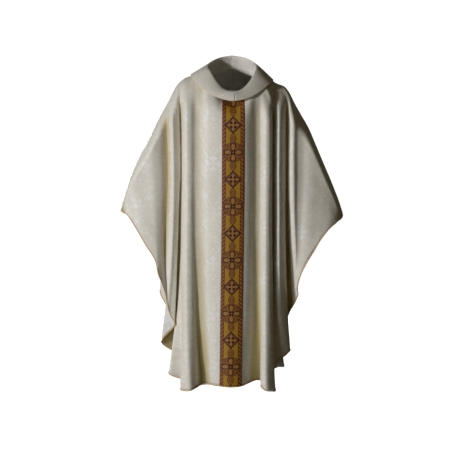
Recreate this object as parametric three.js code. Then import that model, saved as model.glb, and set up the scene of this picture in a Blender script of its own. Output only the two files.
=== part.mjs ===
import * as THREE from "three";

// A gothic chasuble in the pose in which it is worn, hanging from the shoulders and from
// both arms, which are held out and down. Millimetres. -Y is the front, +X the wearer's left,
// +Z up, and the origin is the base of the neck, midway between the shoulders.

// Driving sizes
const CLOTH = 2;
const COLLAR_CLOTH = 3;
const BAND_CLOTH = 1.2;
// Where the band starts under the collar, as a share of the first row below the neckline
const BAND_TOP = 0.7;
const SEAM = 0.3;
const COLLAR_SEAM = 0.5;
const CORD_SEAM = 1.2;
const HEM_CORD = 4;
const COLLAR_CORD = 3;
const CORD_SIDES = 6;
const LONGEST_MITRE = 1.6;

// Plans of the neckline cut in the panels, and of the collar's foot, roll and free edge
const NECK_CUT = { half: 112, front: 98, back: 86 };
const COLLAR_FOOT = { half: 117, front: 103, back: 91 };
const COLLAR_ROLL = { half: 94, front: 116, back: 78 };
const COLLAR_EDGE = { half: 158, front: 142, back: 106 };
const FOOT_LIFT = 0.5;
// Bearing of the collar's front seam in degrees, a little to the wearer's left of the middle
const COLLAR_SEAM_TURN = 3.4;

// Heights at which the cloth would cross the middle of the neck if it had no neckline
const CROWN = { front: -98, back: 45 };

// Share of a panel's rows that goes round the shoulder or the arm
const OVER = 0.3;
// Where down the fall each row of the fold tables gives a point: the top, mid, low and hem
const STATIONS = [0, 0.4, 0.8, 1];
// Share of the fall over which the folds grow out of the smooth shoulder
const FOLDS_FROM = 0.14;

// Steps of the faceted walls
const LOW_STEP = 60;
const HEM_STEP = 34;
const NECK_STEP = 20;
const OVER_ROWS = 5;
const FALL_ROWS = 10;
const COLLAR_STEPS = 22;
const STAND_ROWS = 3;
const TURN_ROWS = 6;

// The shoulder seam, from the wearer's right wrist over the neck to the left one
const SHOULDER = [
  { x: -432, z: -533 },
  { x: -413, z: -464 },
  { x: -382, z: -376 },
  { x: -330, z: -277 },
  { x: -277, z: -174 },
  { x: -241, z: -109 },
  { x: -216, z: -61 },
  { x: -189, z: -33 },
  { x: -142, z: -15 },
  { x: -112, z: -4 },
  { x: 112, z: -10 },
  { x: 140, z: -25 },
  { x: 163, z: -43 },
  { x: 196, z: -59 },
  { x: 216, z: -76 },
  { x: 228, z: -97 },
  { x: 256, z: -150 },
  { x: 292, z: -210 },
  { x: 340, z: -320 },
  { x: 384, z: -421 },
  { x: 420, z: -512 },
  { x: 432, z: -548 },
];

// The form under the cloth, by distance from the middle: how far below the seam the cloth
// has turned from lying to hanging, and its depth there before and behind the seam
const FORM = [
  { x: 0, frontTurn: 75, frontDepth: 150, backTurn: 110, backDepth: 125 },
  { x: 60, frontTurn: 115, frontDepth: 138, backTurn: 130, backDepth: 126 },
  { x: 112, frontTurn: 165, frontDepth: 118, backTurn: 165, backDepth: 117 },
  { x: 160, frontTurn: 165, frontDepth: 108, backTurn: 165, backDepth: 108 },
  { x: 216, frontTurn: 115, frontDepth: 90, backTurn: 115, backDepth: 90 },
  { x: 280, frontTurn: 80, frontDepth: 76, backTurn: 80, backDepth: 76 },
  { x: 360, frontTurn: 65, frontDepth: 70, backTurn: 65, backDepth: 70 },
  { x: 405, frontTurn: 52, frontDepth: 60, backTurn: 52, backDepth: 58 },
  { x: 432, frontTurn: 45, frontDepth: 2, backTurn: 45, backDepth: 2 },
];

// The collar by bearing round the neck in degrees, 0 at the front and positive to the
// wearer's left: heights of its roll and of its free edge
const COLLAR = [
  { turn: -180, roll: 63, edge: 5 },
  { turn: -150, roll: 54, edge: -22 },
  { turn: -120, roll: 34, edge: -19 },
  { turn: -90, roll: 14, edge: -16 },
  { turn: -65, roll: -3, edge: -44 },
  { turn: -40, roll: -44, edge: -78 },
  { turn: -20, roll: -73, edge: -106 },
  { turn: 0, roll: -83, edge: -119 },
  { turn: 20, roll: -77, edge: -110 },
  { turn: 45, roll: -46, edge: -79 },
  { turn: 65, roll: -15, edge: -53 },
  { turn: 90, roll: 13, edge: -36 },
  { turn: 120, roll: 34, edge: -31 },
  { turn: 150, roll: 54, edge: -25 },
  { turn: 180, roll: 63, edge: 5 },
];

// Fold tables, one row for each line of a fold or section, from the wearer's right to left.
// rail is the line's x on the shoulder seam, mid and low are [x, y] down the fall, and hem
// is [x, y, z] of its foot.
const FRONT_FOLDS = [
  { rail: -432, mid: [-432, -1], low: [-432, -2], hem: [-432, -3, -538] },
  { rail: -426, mid: [-426, -28], low: [-423, -34], hem: [-421, -38, -541] },
  { rail: -413, mid: [-411, -64], low: [-404, -70], hem: [-399, -74, -550] },
  { rail: -392, mid: [-387, -76], low: [-371, -87], hem: [-362, -92, -601] },
  { rail: -365, mid: [-357, -82], low: [-338, -96], hem: [-328, -102, -660] },
  { rail: -335, mid: [-324, -87], low: [-300, -103], hem: [-290, -110, -720] },
  { rail: -305, mid: [-297, -91], low: [-284, -104], hem: [-278, -112, -774] },
  { rail: -277, mid: [-271, -86], low: [-267, -96], hem: [-264, -105, -813] },
  { rail: -247, mid: [-243, -72], low: [-256, -83], hem: [-251, -98, -858] },
  { rail: -229, mid: [-222, -103], low: [-233, -106], hem: [-245, -97, -893] },
  { rail: -220, mid: [-213, -99], low: [-222, -99], hem: [-236, -91, -930] },
  { rail: -209, mid: [-204, -91], low: [-211, -91], hem: [-219, -85, -968] },
  { rail: -203, mid: [-200, -79], low: [-250, -67], hem: [-273, -50, -1045] },
  { rail: -199, mid: [-197, -73], low: [-206, -51], hem: [-212, -22, -1106] },
  { rail: -195, mid: [-194, -78], low: [-214, -77], hem: [-243, -92, -1160] },
  { rail: -190, mid: [-190, -92], low: [-192, -92], hem: [-180, -86, -1192] },
  { rail: -184, mid: [-185, -114], low: [-188, -128], hem: [-197, -142, -1212] },
  { rail: -172, mid: [-172, -127], low: [-172, -146], hem: [-160, -168, -1210] },
  { rail: -155, mid: [-157, -126], low: [-150, -140], hem: [-137, -150, -1203] },
  { rail: -138, mid: [-140, -117], low: [-131, -118], hem: [-119, -114, -1200] },
  { rail: -115, mid: [-118, -122], low: [-110, -122], hem: [-100, -116, -1197] },
  { rail: -92, mid: [-94, -138], low: [-88, -142], hem: [-76, -140, -1194] },
  { rail: -64, mid: [-66, -148], low: [-67, -153], hem: [-61, -153, -1194] },
  { rail: -37, mid: [-39, -154], low: [-45, -159], hem: [-47.5, -160, -1194] },
  { rail: 4.5, mid: [2.5, -158], low: [-3.5, -165], hem: [-6, -170, -1196] },
  { rail: 46, mid: [44, -154], low: [38, -159], hem: [35.5, -160, -1194] },
  { rail: 66, mid: [65, -144], low: [63, -143], hem: [61, -136, -1189] },
  { rail: 88, mid: [84, -128], low: [86, -122], hem: [95, -110, -1182] },
  { rail: 105, mid: [103, -126], low: [105, -118], hem: [119, -106, -1187] },
  { rail: 115, mid: [116, -133], low: [113, -138], hem: [109, -148, -1198] },
  { rail: 130, mid: [128, -141], low: [126, -158], hem: [128, -174, -1208] },
  { rail: 142, mid: [142, -137], low: [146, -151], hem: [150, -163, -1213] },
  { rail: 149, mid: [150, -121], low: [159, -135], hem: [167, -142, -1215] },
  { rail: 155, mid: [156, -92], low: [150, -99], hem: [145, -107, -1168] },
  { rail: 162, mid: [162, -103], low: [168, -112], hem: [173, -104, -1106] },
  { rail: 175, mid: [176, -118], low: [182, -116], hem: [198, -96, -1095] },
  { rail: 189, mid: [190, -108], low: [202, -100], hem: [218, -84, -1080] },
  { rail: 198, mid: [200, -91], low: [212, -84], hem: [226, -70, -1072] },
  { rail: 204, mid: [204, -72], low: [196, -62], hem: [190, -52, -1010] },
  { rail: 211, mid: [211, -71], low: [213, -46], hem: [213, -34, -946] },
  { rail: 221, mid: [222, -90], low: [231, -80], hem: [240, -64, -890] },
  { rail: 233, mid: [233, -97], low: [244, -93], hem: [252, -80, -853] },
  { rail: 249, mid: [247, -88], low: [250, -92], hem: [250, -88, -823] },
  { rail: 269, mid: [266, -84], low: [262, -92], hem: [259, -95, -782] },
  { rail: 294, mid: [289, -86], low: [284, -96], hem: [282, -100, -733] },
  { rail: 325, mid: [321, -84], low: [313, -95], hem: [309, -101, -688] },
  { rail: 353, mid: [350, -82], low: [341, -93], hem: [334, -100, -645] },
  { rail: 387, mid: [384, -75], low: [376, -85], hem: [370, -90, -601] },
  { rail: 413, mid: [412, -59], low: [407, -66], hem: [403, -70, -576] },
  { rail: 426, mid: [426, -28], low: [424, -36], hem: [423, -40, -562] },
  { rail: 432, mid: [432, -1], low: [432, -2], hem: [432, -3, -555] },
];

const BACK_FOLDS = [
  { rail: -432, mid: [-432, 1], low: [-432, 2], hem: [-432, 3, -538] },
  { rail: -426, mid: [-425, 28], low: [-421, 36], hem: [-419, 40, -543] },
  { rail: -409, mid: [-404, 62], low: [-394, 70], hem: [-387, 74, -565] },
  { rail: -385, mid: [-378, 74], low: [-360, 86], hem: [-349, 92, -614] },
  { rail: -355, mid: [-346, 82], low: [-324, 98], hem: [-312, 106, -674] },
  { rail: -325, mid: [-314, 88], low: [-292, 104], hem: [-282, 112, -732] },
  { rail: -298, mid: [-292, 90], low: [-280, 100], hem: [-274, 104, -796] },
  { rail: -272, mid: [-268, 84], low: [-278, 96], hem: [-285, 98, -872] },
  { rail: -248, mid: [-246, 78], low: [-253, 84], hem: [-264, 86, -916] },
  { rail: -228, mid: [-226, 100], low: [-232, 98], hem: [-238, 88, -966] },
  { rail: -214, mid: [-211, 85], low: [-212, 66], hem: [-212, 50, -1012] },
  { rail: -206, mid: [-204, 78], low: [-195, 79], hem: [-186, 68, -1054] },
  { rail: -200, mid: [-199, 88], low: [-214, 94], hem: [-227, 92, -1100] },
  { rail: -190, mid: [-190, 108], low: [-197, 112], hem: [-204, 112, -1140] },
  { rail: -174, mid: [-174, 124], low: [-176, 131], hem: [-178, 134, -1170] },
  { rail: -156, mid: [-156, 110], low: [-152, 106], hem: [-148, 98, -1186] },
  { rail: -132, mid: [-129, 128], low: [-126, 138], hem: [-122, 148, -1199] },
  { rail: -114, mid: [-112, 130], low: [-107, 140], hem: [-103, 146, -1203] },
  { rail: -94, mid: [-92, 124], low: [-88, 126], hem: [-84, 126, -1207] },
  { rail: -52, mid: [-53, 140], low: [-50, 150], hem: [-46, 158, -1213] },
  { rail: 0, mid: [0, 136], low: [4, 142], hem: [6, 144, -1216] },
  { rail: 50, mid: [52, 142], low: [56, 152], hem: [60, 160, -1213] },
  { rail: 92, mid: [92, 124], low: [96, 122], hem: [100, 118, -1207] },
  { rail: 114, mid: [113, 128], low: [118, 133], hem: [122, 138, -1203] },
  { rail: 132, mid: [131, 128], low: [135, 138], hem: [139, 146, -1199] },
  { rail: 152, mid: [152, 106], low: [152, 97], hem: [150, 88, -1190] },
  { rail: 173, mid: [174, 120], low: [181, 122], hem: [188, 122, -1182] },
  { rail: 190, mid: [192, 104], low: [203, 102], hem: [211, 94, -1172] },
  { rail: 201, mid: [200, 82], low: [190, 78], hem: [182, 70, -1085] },
  { rail: 213, mid: [212, 82], low: [213, 60], hem: [212, 48, -985] },
  { rail: 230, mid: [230, 100], low: [240, 94], hem: [246, 84, -905] },
  { rail: 248, mid: [247, 84], low: [253, 88], hem: [256, 88, -856] },
  { rail: 271, mid: [270, 82], low: [269, 92], hem: [268, 98, -800] },
  { rail: 298, mid: [298, 86], low: [295, 98], hem: [296, 104, -742] },
  { rail: 328, mid: [328, 84], low: [325, 96], hem: [326, 102, -690] },
  { rail: 356, mid: [355, 80], low: [352, 90], hem: [352, 96, -642] },
  { rail: 384, mid: [383, 74], low: [382, 84], hem: [384, 88, -606] },
  { rail: 409, mid: [407, 60], low: [405, 67], hem: [404, 70, -583] },
  { rail: 426, mid: [425, 28], low: [423, 36], hem: [422, 40, -564] },
  { rail: 432, mid: [432, 1], low: [432, 2], hem: [432, 3, -555] },
];

// A smooth curve through values at uneven stations, read at t
function through(stations, values, t) {
  const last = stations.length - 1;
  const rise = (k) => (values[k + 1] - values[k]) / (stations[k + 1] - stations[k]);
  const slope = (k) => {
    if (k === 0) return rise(0);
    if (k === last) return rise(last - 1);
    const before = stations[k] - stations[k - 1];
    const after = stations[k + 1] - stations[k];
    return (rise(k - 1) * after + rise(k) * before) / (before + after);
  };
  let i = 0;
  while (i < last - 1 && t > stations[i + 1]) i += 1;
  const span = stations[i + 1] - stations[i];
  const f = (t - stations[i]) / span;
  const g = 1 - f;
  const bend = slope(i) * g - slope(i + 1) * f;
  return values[i] * g * g * (1 + 2 * f) + values[i + 1] * f * f * (3 - 2 * f) + span * f * g * bend;
}

const column = (table, name) => table.map((row) => row[name]);

function seamHeight(x) {
  return through(column(SHOULDER, "x"), column(SHOULDER, "z"), x);
}

// Top of a line of the front or back: the seam, or past the neckline a crown over the neck
function topHeight(x, face) {
  if (Math.abs(x) >= NECK_CUT.half) return seamHeight(x);
  const across = (x + NECK_CUT.half) / (2 * NECK_CUT.half);
  const edge = THREE.MathUtils.lerp(seamHeight(-NECK_CUT.half), seamHeight(NECK_CUT.half), across);
  return edge + (CROWN[face] - edge) * Math.cos((Math.PI * x) / (2 * NECK_CUT.half)) ** 2;
}

// A panel's surface: a curve across the fold lines at each height w, from 0 at the seam or
// neckline to 1 at the hem. k counts the fold lines.
function makePanel(face, folds) {
  const side = face === "front" ? -1 : 1;
  const curves = new Map();

  function linePoint(row, w) {
    const top = topHeight(row.rail, face);
    const fall = top - row.hem[2];
    const away = Math.abs(row.rail);
    const turn = Math.min(through(column(FORM, "x"), column(FORM, `${face}Turn`), away), 0.6 * fall);
    const depth = side * through(column(FORM, "x"), column(FORM, `${face}Depth`), away);
    const depths = [row.mid[1], row.mid[1], row.low[1], row.hem[1]];
    const widths = [row.rail, row.mid[0], row.low[0], row.hem[0]];
    const inside = Math.max(0, 1 - (row.rail / NECK_CUT.half) ** 2);
    const start = Math.asin((NECK_CUT[face] * Math.sqrt(inside)) / Math.abs(depth));
    const angle = start + (Math.PI / 2 - start) * Math.min(w / OVER, 1);
    const past = Math.max(w - OVER, 0) / (1 - OVER);
    const turned = (turn * (1 - Math.cos(angle))) / fall;
    const v = turned + (1 - turned) * past;
    const folded = THREE.MathUtils.smoothstep(v, 0, FOLDS_FROM);
    const hung = THREE.MathUtils.lerp(depth, through(STATIONS, depths, v), folded);
    const y = Math.sin(angle) * hung;
    return new THREE.Vector3(through(STATIONS, widths, v), y + (side * SEAM) / 2, top - fall * v);
  }

  function point(k, w) {
    if (!curves.has(w)) {
      const points = folds.map((row) => linePoint(row, w));
      curves.set(w, new THREE.CatmullRomCurve3(points, false, "centripetal"));
    }
    return curves.get(w).getPoint(k / (folds.length - 1));
  }

  // Outward normal, from the slopes across and down the cloth
  function normal(k, w) {
    const reach = 0.02;
    const last = folds.length - 1;
    const across = point(Math.min(k + reach, last), w).sub(point(Math.max(k - reach, 0), w));
    const down = point(k, Math.min(w + reach / 4, 1)).sub(point(k, Math.max(w - reach / 4, 0)));
    return down.cross(across).normalize().multiplyScalar(-side);
  }

  // Columns, closer where the fold lines lie far apart at the hem, and rows
  const ks = [0];
  folds.slice(1).forEach((row, i) => {
    const gap = (w) => point(i + 1, w).distanceTo(point(i, w));
    const neck = Math.abs(row.rail) < COLLAR_FOOT.half ? gap(0) / NECK_STEP : 0;
    const parts = Math.ceil(Math.max(gap(0.8) / LOW_STEP, gap(1) / HEM_STEP, neck));
    for (let part = 1; part <= parts; part += 1) ks.push(i + part / parts);
  });
  const ws = [];
  for (let j = 0; j < OVER_ROWS; j += 1) ws.push((OVER * j) / OVER_ROWS);
  for (let j = 0; j <= FALL_ROWS; j += 1) ws.push(OVER + ((1 - OVER) * j) / FALL_ROWS);
  const surface = ks.map((k) => ws.map((w) => point(k, w)));
  return { side, folds, point, normal, surface, ks, ws };
}

// Height of a triangle over a place in plan, or nothing where it isn't over it
function heightOver([a, b, c], x, y) {
  const det = (b.y - c.y) * (a.x - c.x) + (c.x - b.x) * (a.y - c.y);
  const p = ((b.y - c.y) * (x - c.x) + (c.x - b.x) * (y - c.y)) / det;
  const q = ((c.y - a.y) * (x - c.x) + (a.x - c.x) * (y - c.y)) / det;
  const inside = p >= 0 && q >= 0 && p + q <= 1;
  return inside ? p * a.z + q * b.z + (1 - p - q) * c.z : -Infinity;
}

// Height of the faceted panels at a place in plan near the neck
function seat(x, y) {
  const { side, surface } = y < 0 ? front : back;
  const depth = side * Math.max(Math.abs(y), SEAM);
  let height = -Infinity;
  for (let i = 0; i < surface.length - 1; i += 1) {
    for (let j = 0; j < OVER_ROWS; j += 1) {
      const [a, b] = [surface[i][j], surface[i][j + 1]];
      const [c, d] = [surface[i + 1][j + 1], surface[i + 1][j]];
      height = Math.max(height, heightOver([a, b, c], x, depth), heightOver([a, c, d], x, depth));
    }
  }
  return height;
}

// A closed wall from two grids of points of the same size, turned outwards by its volume
function closedWall(outer, inner) {
  const columns = outer.length - 1;
  const rows = outer[0].length - 1;
  const points = [...outer.flat(), ...inner.flat()];
  const o = (i, j) => i * (rows + 1) + j;
  const n = (i, j) => o(i, j) + outer.length * (rows + 1);
  const faces = [];
  const quad = (a, b, c, d) => faces.push([a, b, c], [a, c, d]);
  for (let i = 0; i < columns; i += 1) {
    for (let j = 0; j < rows; j += 1) {
      quad(o(i, j), o(i, j + 1), o(i + 1, j + 1), o(i + 1, j));
      quad(n(i, j), n(i + 1, j), n(i + 1, j + 1), n(i, j + 1));
    }
    quad(o(i, 0), o(i + 1, 0), n(i + 1, 0), n(i, 0));
    quad(o(i + 1, rows), o(i, rows), n(i, rows), n(i + 1, rows));
  }
  for (let j = 0; j < rows; j += 1) {
    quad(o(0, j + 1), o(0, j), n(0, j), n(0, j + 1));
    quad(o(columns, j), o(columns, j + 1), n(columns, j + 1), n(columns, j));
  }
  return closedGeometry(points, faces);
}

function closedGeometry(points, faces) {
  const volume = faces.reduce((sum, [a, b, c]) => {
    return sum + points[a].dot(points[b].clone().cross(points[c]));
  }, 0);
  const turned = volume < 0 ? faces.map(([a, b, c]) => [a, c, b]) : faces;
  const geometry = new THREE.BufferGeometry().setFromPoints(points);
  geometry.setIndex(turned.flat());
  geometry.computeVertexNormals();
  return geometry;
}

// A cord sewn along an edge. Each place on the edge gives its point, the cloth's normal, the
// direction off the cloth and how far the mitre stretches it; a flat of the cord faces the
// edge across the seam.
function edgeCord(places, diameter) {
  const radius = diameter / 2;
  const reach = CORD_SEAM + radius * Math.cos(Math.PI / CORD_SIDES);
  const points = places.flatMap(({ edge, normal, off, mitre }) => {
    return Array.from({ length: CORD_SIDES }, (_, i) => {
      const angle = ((i + 0.5) * 2 * Math.PI) / CORD_SIDES;
      const out = edge.clone().addScaledVector(off, mitre * (reach + radius * Math.cos(angle)));
      return out.addScaledVector(normal, radius * Math.sin(angle));
    });
  });
  const faces = [];
  for (let i = 0; i < places.length - 1; i += 1) {
    for (let j = 0; j < CORD_SIDES; j += 1) {
      const a = i * CORD_SIDES + j;
      const b = i * CORD_SIDES + ((j + 1) % CORD_SIDES);
      faces.push([a, b, b + CORD_SIDES], [a, b + CORD_SIDES, a + CORD_SIDES]);
    }
  }
  const end = (places.length - 1) * CORD_SIDES;
  for (let j = 1; j < CORD_SIDES - 1; j += 1) {
    faces.push([0, j + 1, j], [end, end + j, end + j + 1]);
  }
  return closedGeometry(points, faces);
}

// Direction off the edge at each place: half way between the directions off the two legs
// of the path that meet there, each square to its leg and to the cloth's normal half way
function withOff(edges, normals, hint) {
  const last = edges.length - 1;
  const legs = normals.map((normal, i) => {
    const along = edges[i + 1].clone().sub(edges[i]).normalize();
    return { along, off: along.clone().cross(normal).normalize().multiplyScalar(hint) };
  });
  return edges.map((edge, i) => {
    const before = legs[Math.max(i - 1, 0)];
    const after = legs[Math.min(i, last - 1)];
    const off = before.off.clone().add(after.off).normalize();
    const mitre = Math.min(1 / off.dot(before.off), LONGEST_MITRE);
    const along = before.along.clone().add(after.along).normalize();
    const normal = off.clone().cross(along).normalize().multiplyScalar(hint);
    return { edge, normal, off, mitre };
  });
}

// Turns a cord's end square to an axis, where it meets the next cord end to end
function squareEnd(place, axis) {
  place.normal[axis] = 0;
  place.off[axis] = 0;
  place.normal.normalize();
  place.off.normalize();
}

function panelWall(panel) {
  const grid = (depth) => panel.ks.map((k) => panel.ws.map((w) => {
    const place = panel.point(k, w).addScaledVector(panel.normal(k, w), depth);
    place.y = panel.side * Math.max(panel.side * place.y, SEAM / 2);
    return place;
  }));
  return closedWall(grid(0), grid(-CLOTH));
}

// The hem cord runs round the hem, from one wrist to the other
function hemCord(panel) {
  const edges = panel.ks.map((k) => panel.point(k, 1).addScaledVector(panel.normal(k, 1), -CLOTH / 2));
  const normals = panel.ks.slice(1).map((k, i) => panel.normal((k + panel.ks[i]) / 2, 1));
  const places = withOff(edges, normals, -panel.side);
  for (const end of [places[0], places.at(-1)]) {
    squareEnd(end, "y");
    end.edge.y = (panel.side * SEAM) / 2;
  }
  return edgeCord(places, HEM_CORD);
}

// The band lies on the front between the fold lines at its edges, from under the collar
function orphreyWall(panel) {
  const first = panel.folds.findIndex((row) => row.rail === -37);
  const ks = panel.ks.filter((k) => k >= first && k <= first + 2);
  const ws = [BAND_TOP * panel.ws[1], ...panel.ws.slice(1)];
  const grid = (lift) => ks.map((k) => ws.map((w) => {
    return panel.point(k, w).addScaledVector(panel.normal(k, w), lift);
  }));
  return closedWall(grid(SEAM + BAND_CLOTH), grid(SEAM));
}

function ringPoint(ring, turn, z) {
  const centre = (ring.front - ring.back) / 2;
  const reach = (ring.front + ring.back) / 2;
  const angle = THREE.MathUtils.degToRad(turn);
  return new THREE.Vector3(ring.half * Math.sin(angle), -centre - reach * Math.cos(angle), z);
}

// The collar at a bearing round the neck, with t from 0 at its foot over 1 at the roll to 2
// at its free edge
function collarPoint(turn, t) {
  const angle = THREE.MathUtils.degToRad(turn);
  const footDepth = Math.abs(turn) < 90 ? COLLAR_FOOT.front : COLLAR_FOOT.back;
  const foot = new THREE.Vector3(COLLAR_FOOT.half * Math.sin(angle), -footDepth * Math.cos(angle), 0);
  foot.z = seat(foot.x, foot.y) + FOOT_LIFT;
  const turns = column(COLLAR, "turn");
  const roll = ringPoint(COLLAR_ROLL, turn, through(turns, column(COLLAR, "roll"), turn));
  const edge = ringPoint(COLLAR_EDGE, turn, through(turns, column(COLLAR, "edge"), turn));
  const out = new THREE.Vector3(edge.x - roll.x, edge.y - roll.y, 0).normalize();
  const stand = foot.distanceTo(roll);
  const fall = edge.distanceTo(roll);
  const radius = Math.min(9, 0.4 * stand);
  const up = new THREE.Vector3(0, 0, 0.5 * stand);
  const puff = (0.03 + 0.09 * Math.cos(angle) ** 2) * fall;
  const drape = new THREE.Vector3(0, 0, puff).addScaledVector(out, puff);
  const curve = t < 1
    ? [foot, foot.clone().add(up), roll.clone().addScaledVector(out, -radius), roll]
    : [roll, roll.clone().addScaledVector(out, radius), edge.clone().lerp(roll, 0.4).add(drape), edge];
  return new THREE.CubicBezierCurve3(...curve).getPoint(t < 1 ? t : t - 1);
}

function collarNormal(turn, t) {
  const reach = 0.01;
  const along = collarPoint(turn, Math.min(t + reach, 2)).sub(collarPoint(turn, Math.max(t - reach, 0)));
  const next = Math.min(turn + 1, 180);
  const round = collarPoint(next, t).sub(collarPoint(next - 2, t));
  const normal = round.cross(along);
  if (Math.abs(turn) > 179) normal.x = 0;
  return normal.normalize();
}

// Bearings of one half of the collar, between its seams at the front and at the back
function collarTurns(hand) {
  const parted = THREE.MathUtils.radToDeg(COLLAR_SEAM / 2 / COLLAR_ROLL.half);
  const front = COLLAR_SEAM_TURN + hand * parted;
  const back = hand * (180 - parted);
  return Array.from({ length: COLLAR_STEPS + 1 }, (_, i) => {
    return THREE.MathUtils.lerp(front, back, i / COLLAR_STEPS);
  });
}

// Sets a row of the collar's foot on the panels, higher where they bulge between two places
function seatFoot(places) {
  for (const place of places) place.z = seat(place.x, place.y);
  const bulges = places.slice(1).map((next, i) => {
    const between = Array.from({ length: 7 }, (_, j) => places[i].clone().lerp(next, (j + 1) / 8));
    return Math.max(0, ...between.map((place) => seat(place.x, place.y) - place.z));
  });
  places.forEach((place, i) => {
    place.z += FOOT_LIFT + Math.max(bulges[i - 1] ?? 0, bulges[i] ?? 0);
  });
}

function collarWall(hand) {
  const ts = [];
  for (let j = 0; j < STAND_ROWS; j += 1) ts.push(j / STAND_ROWS);
  for (let j = 0; j <= TURN_ROWS; j += 1) ts.push(1 + j / TURN_ROWS);
  const grid = (depth) => collarTurns(hand).map((turn) => ts.map((t) => {
    return collarPoint(turn, t).addScaledVector(collarNormal(turn, t), depth);
  }));
  const walls = [grid(COLLAR_CLOTH / 2), grid(-COLLAR_CLOTH / 2)];
  for (const wall of walls) seatFoot(wall.map((places) => places[0]));
  return closedWall(...walls);
}

function collarCord(hand) {
  const turns = collarTurns(hand);
  const edges = turns.map((turn) => collarPoint(turn, 2));
  const normals = turns.slice(1).map((turn, i) => collarNormal((turn + turns[i]) / 2, 2));
  const places = withOff(edges, normals, -hand);
  squareEnd(places.at(-1), "x");
  return edgeCord(places, COLLAR_CORD);
}

const front = makePanel("front", FRONT_FOLDS);
const back = makePanel("back", BACK_FOLDS);

const damask = new THREE.MeshStandardMaterial({ color: 0xe9e2cf, roughness: 0.62, side: THREE.DoubleSide });
const galloon = new THREE.MeshStandardMaterial({ color: 0xa97a22, roughness: 0.55, metalness: 0.15 });
const goldCord = new THREE.MeshStandardMaterial({ color: 0xc79a5b, roughness: 0.5, metalness: 0.1 });
const paleCord = new THREE.MeshStandardMaterial({ color: 0xd9bf94, roughness: 0.5, metalness: 0.1 });

const chasuble = new THREE.Group();

function addPiece(name, geometry, material) {
  const mesh = new THREE.Mesh(geometry, material);
  mesh.name = name;
  chasuble.add(mesh);
}

addPiece("front_panel", panelWall(front), damask);
addPiece("back_panel", panelWall(back), damask);
addPiece("orphrey_front", orphreyWall(front), galloon);
addPiece("hem_piping_front", hemCord(front), goldCord);
addPiece("hem_piping_back", hemCord(back), goldCord);
for (const [name, hand] of [["left", 1], ["right", -1]]) {
  addPiece(`collar_${name}`, collarWall(hand), damask);
  addPiece(`collar_piping_${name}`, collarCord(hand), paleCord);
}

export default chasuble;
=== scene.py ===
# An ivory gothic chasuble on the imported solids: damask shells with their folds, a woven front
# band, a turned-down collar and corded edges. The tables are in millimetres, as in the part,
# and the meshes in metres. -Y is the front, +X the wearer's left and +Z up.
import math
from collections import namedtuple

import bpy
import numpy as np
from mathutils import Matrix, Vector


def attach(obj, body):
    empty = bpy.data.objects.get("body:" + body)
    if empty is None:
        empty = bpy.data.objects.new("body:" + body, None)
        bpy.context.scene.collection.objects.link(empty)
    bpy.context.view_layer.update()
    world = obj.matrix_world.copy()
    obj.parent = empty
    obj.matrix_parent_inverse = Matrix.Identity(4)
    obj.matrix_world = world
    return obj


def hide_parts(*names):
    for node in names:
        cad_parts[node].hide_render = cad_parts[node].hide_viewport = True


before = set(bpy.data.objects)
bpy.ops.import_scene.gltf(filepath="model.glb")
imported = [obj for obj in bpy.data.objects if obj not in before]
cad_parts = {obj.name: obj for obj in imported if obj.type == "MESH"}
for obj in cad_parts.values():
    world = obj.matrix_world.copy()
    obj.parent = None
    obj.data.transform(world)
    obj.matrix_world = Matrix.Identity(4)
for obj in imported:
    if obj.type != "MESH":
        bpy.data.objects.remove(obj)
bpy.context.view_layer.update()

MM = 0.001

Neck = namedtuple("Neck", "half front back")
Seam = namedtuple("Seam", "x z")
Form = namedtuple("Form", "x front_turn front_depth back_turn back_depth")
Roll = namedtuple("Roll", "turn roll edge")
Fold = namedtuple("Fold", "rail mid low hem")
Drag = namedtuple("Drag", "x z to_x to_z width height")
Pucker = namedtuple("Pucker", "seed height width length slant")
Light = namedtuple("Light", "name place aim power size colour")

# Thicknesses of the cloth, the gap at a sewn seam, and the cords' diameters
CLOTH = 1.4
COLLAR_CLOTH = 2.6
BAND_CLOTH = 0.9
SEAM = 0.3
HEM_CORD = 5
COLLAR_CORD = 3.6

# Plans of the neckline cut in the panels, and of the collar's foot, roll and free edge
NECK_CUT = Neck(half=112, front=98, back=86)
COLLAR_FOOT = Neck(half=117, front=103, back=91)
COLLAR_ROLL = Neck(half=94, front=116, back=78)
COLLAR_EDGE = Neck(half=158, front=142, back=106)
# How far the collar's foot stands over the panels
FOOT_LIFT = 1.0
# Bearing of the collar's front seam in degrees, a little to the wearer's left of the middle,
# and the gap between its halves
COLLAR_SEAM_TURN = 3.4
COLLAR_SEAM = 0.3
# How far the collar stands out at its front seam, and the degrees over which that fades
COLLAR_KEEL = 7
COLLAR_KEEL_SPREAD = 24

# Heights at which the cloth would cross the middle of the neck if it had no neckline
CROWN = {"front": -98, "back": 45}
# Share of a panel's rows that goes round the shoulder, where the cloth turns to hang
OVER = 0.3
# Where down the fall each row of the fold tables gives a point: the top, mid, low and hem
STATIONS = [0, 0.4, 0.8, 1]
# Share of the fall over which the folds grow out of the smooth shoulder
FOLDS_FROM = 0.14
# The way that each panel faces along Y
SIDE = {"front": -1, "back": 1}
# Height of the band's top end, hidden under the collar, from 0 at the neckline to 1 at the hem
BAND_TOP = 0.014
# Fold lines at the band's edges, by their place on the shoulder seam
BAND_RAILS = (-37, 46)
# Middle of the band, and how far to each side of it the cloth is kept flat
BAND_MIDDLE = 2
BAND_FLAT = 75

# Fineness of the shells, and the length that a bend of one radian counts for in their columns
PANEL_COLUMNS = 292
PANEL_ROWS = 160
BAND_COLUMNS = 24
BAND_ROWS = 240
COLLAR_COLUMNS = 150
COLLAR_ROWS = 66
BEND_COST = 16
# Places read between two fold lines where a panel is measured, and along the hem
FINE = 24
HEM_PLACES = 1400

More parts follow.
